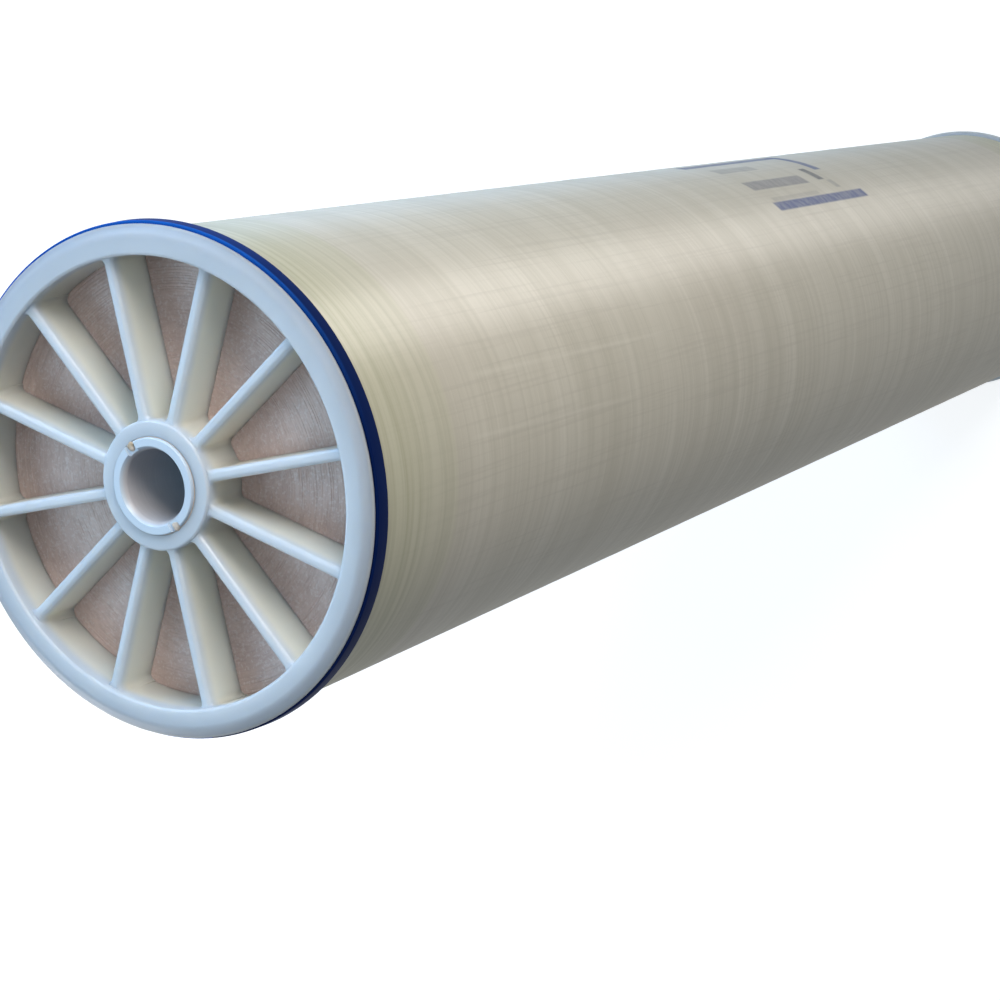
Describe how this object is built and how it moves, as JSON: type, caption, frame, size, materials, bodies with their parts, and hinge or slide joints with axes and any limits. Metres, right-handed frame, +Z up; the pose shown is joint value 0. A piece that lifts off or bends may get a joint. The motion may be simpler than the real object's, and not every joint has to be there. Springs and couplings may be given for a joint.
{
  "type": "nanofiltration membrane element",
  "caption": "Spiral-wound nanofiltration element: a glass-fibre shell on a wound roll, spoked end caps, a central product water tube and a brine seal at the feed end.",
  "frame": {"origin": "centre of the outlet end face, which the element stands on", "axes": "+Z up along the product water tube towards the feed end, where the brine seal is; +X along a spoke of each end cap"},
  "size_m": [0.2038, 0.2038, 1.016],
  "materials": {
    "tube": "turned plastic",
    "roll": "cut edges of wound sheet and mesh",
    "tape": "thin film",
    "cap": "ivory moulded plastic",
    "adhesive": "amber resin",
    "shell": "wound glass fibre under clear resin",
    "label": "printed sheet under clear resin",
    "seal": "smooth blue rubber"
  },
  "bodies": {
    "root": {"product_water_tube": "tube", "membrane_roll": "roll", "roll_tape": "tape", "feed_end_cap": "cap", "outlet_end_cap": "cap", "cap_adhesive": "adhesive", "outer_shell": "shell", "product_label": "label", "brine_seal": "seal"}
  },
  "joints": []
}
